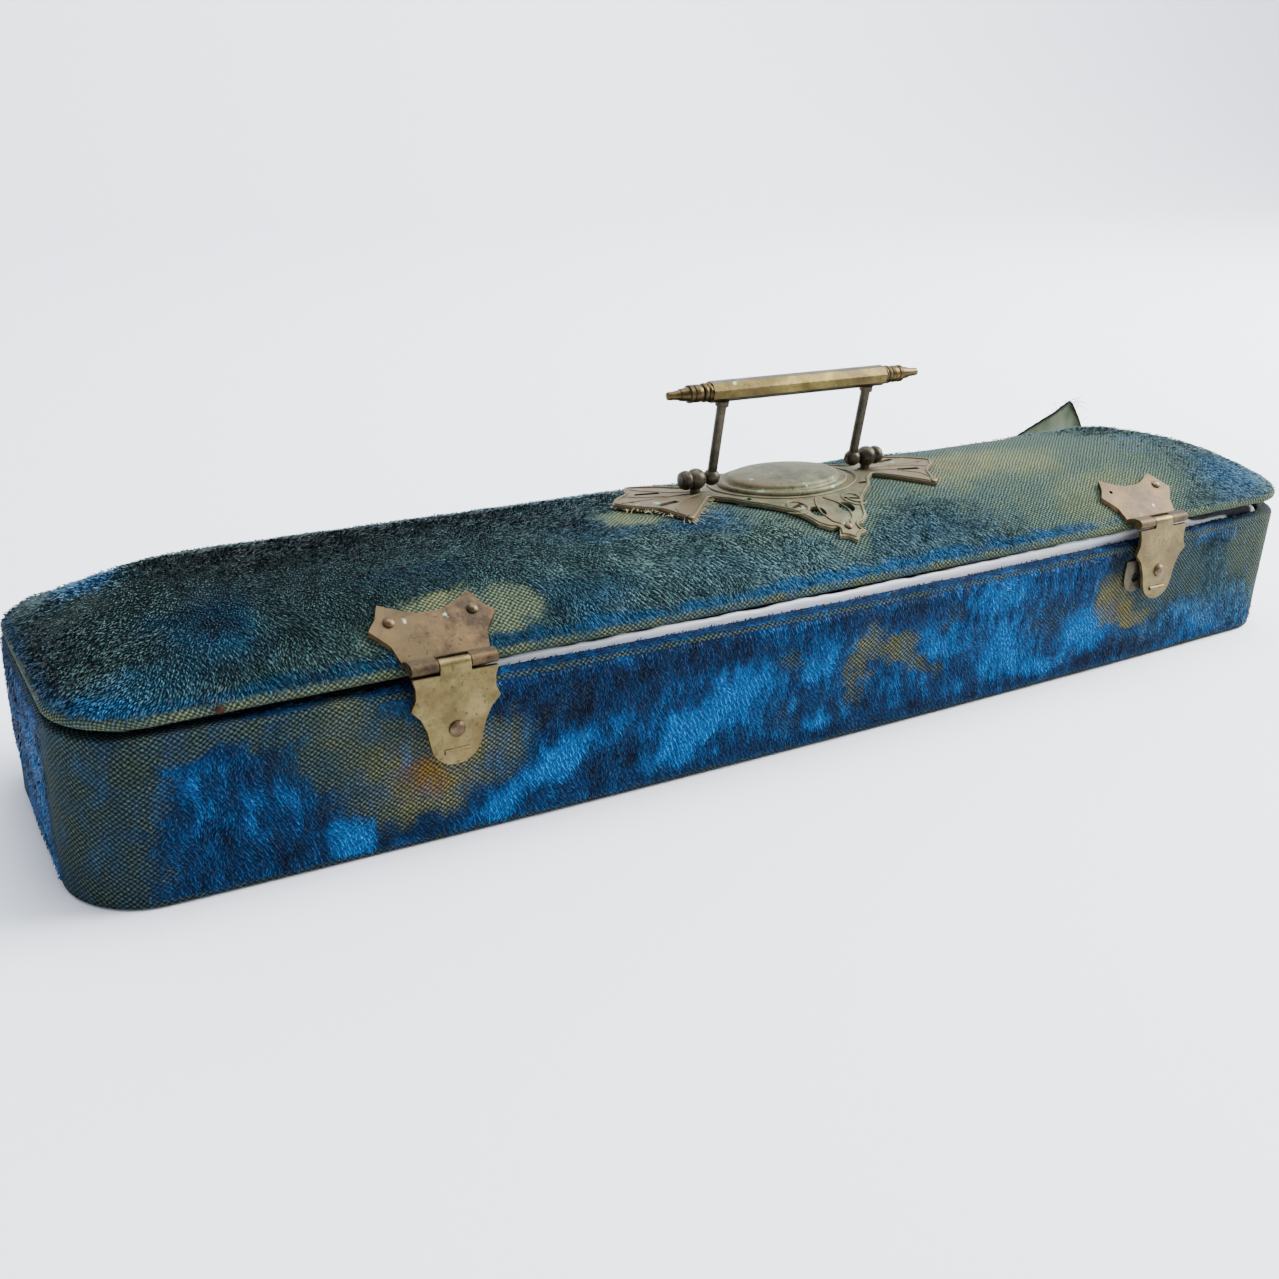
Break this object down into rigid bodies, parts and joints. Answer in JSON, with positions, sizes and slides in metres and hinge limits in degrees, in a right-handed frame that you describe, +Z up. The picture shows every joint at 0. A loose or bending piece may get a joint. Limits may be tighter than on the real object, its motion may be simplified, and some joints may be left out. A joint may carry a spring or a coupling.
{
  "type": "velvet-covered glove box",
  "caption": "Long shallow wooden box covered in worn velvet, with a domed hinged lid, two brass snap clasps and a brass bail handle with turned ends.",
  "frame": {"origin": "on the table, under the middle of the box's length and width over its velvet, on the bottom face", "axes": "+X along the box, to the right seen from the front; +Y towards the hinged back; +Z up"},
  "size_m": [0.33, 0.0803, 0.0778],
  "materials": {
    "box_wood": "matt",
    "blue_velvet": "worn pile",
    "teal_velvet": "faded pile",
    "velvet_backing": "matt",
    "bottom_cloth": "matt",
    "white_satin": "satin",
    "clasp_brass": "tarnished",
    "leaf_copper_brass": "tarnished",
    "plate_brass": "dull",
    "bar_brass": "antique",
    "dark_brass": "antique",
    "rusty_iron": "rusty"
  },
  "bodies": {
    "base": {"base_wall": "box_wood", "base_floor": "box_wood", "base_cover": "blue_velvet", "bottom_cover": "bottom_cloth", "lining_front": "white_satin", "lining_back": "white_satin", "lining_left": "white_satin", "lining_right": "white_satin", "floor_pad": "white_satin", "keeper_left": "clasp_brass", "keeper_right": "clasp_brass", "keeper_nails": "rusty_iron", "hinge_leaf_base_left": "dark_brass", "hinge_leaf_base_right": "dark_brass", "hinge_pin_left": "rusty_iron", "hinge_pin_right": "rusty_iron", "hinge_nails_base": "rusty_iron"},
    "lid": {"lid_board": "box_wood", "lid_cover": "teal_velvet", "lid_lining": "white_satin", "torn_flap": "velvet_backing", "handle_plate": "plate_brass", "pivot_lug_left": "dark_brass", "pivot_lug_right": "dark_brass", "plate_nails": "rusty_iron", "clasp_leaf_left": "leaf_copper_brass", "clasp_leaf_right": "leaf_copper_brass", "clasp_pin_left": "rusty_iron", "clasp_pin_right": "rusty_iron", "clasp_nails": "rusty_iron", "rim_nail": "rusty_iron", "hinge_leaf_lid_left": "dark_brass", "hinge_leaf_lid_right": "dark_brass", "hinge_nails_lid": "rusty_iron"},
    "hasp_l": {"hasp_left": "clasp_brass", "stud_left": "rusty_iron"},
    "hasp_r": {"hasp_right": "clasp_brass", "stud_right": "rusty_iron"},
    "handle": {"handle_bar": "bar_brass", "finial_left": "bar_brass", "finial_right": "bar_brass", "post_left": "dark_brass", "post_right": "dark_brass"}
  },
  "joints": [
    {"name": "lid_hinge", "type": "hinge", "parent": "base", "child": "lid", "pos_m": [0, 0.03685, 0.03415], "axis": [-1, 0, 0], "range_deg": [0, 100]},
    {"name": "hasp_left_swing", "type": "hinge", "parent": "lid", "child": "hasp_l", "pos_m": [-0.0952, -0.03935, 0.03857], "axis": [-1, 0, 0], "range_deg": [0, 180]},
    {"name": "hasp_right_swing", "type": "hinge", "parent": "lid", "child": "hasp_r", "pos_m": [0.1024, -0.03935, 0.03988], "axis": [-1, 0, 0], "range_deg": [0, 180]},
    {"name": "handle_swing", "type": "hinge", "parent": "lid", "child": "handle", "pos_m": [0.0097, 0, 0.05438], "axis": [1, 0, 0], "range_deg": [-106, 86]}
  ]
}
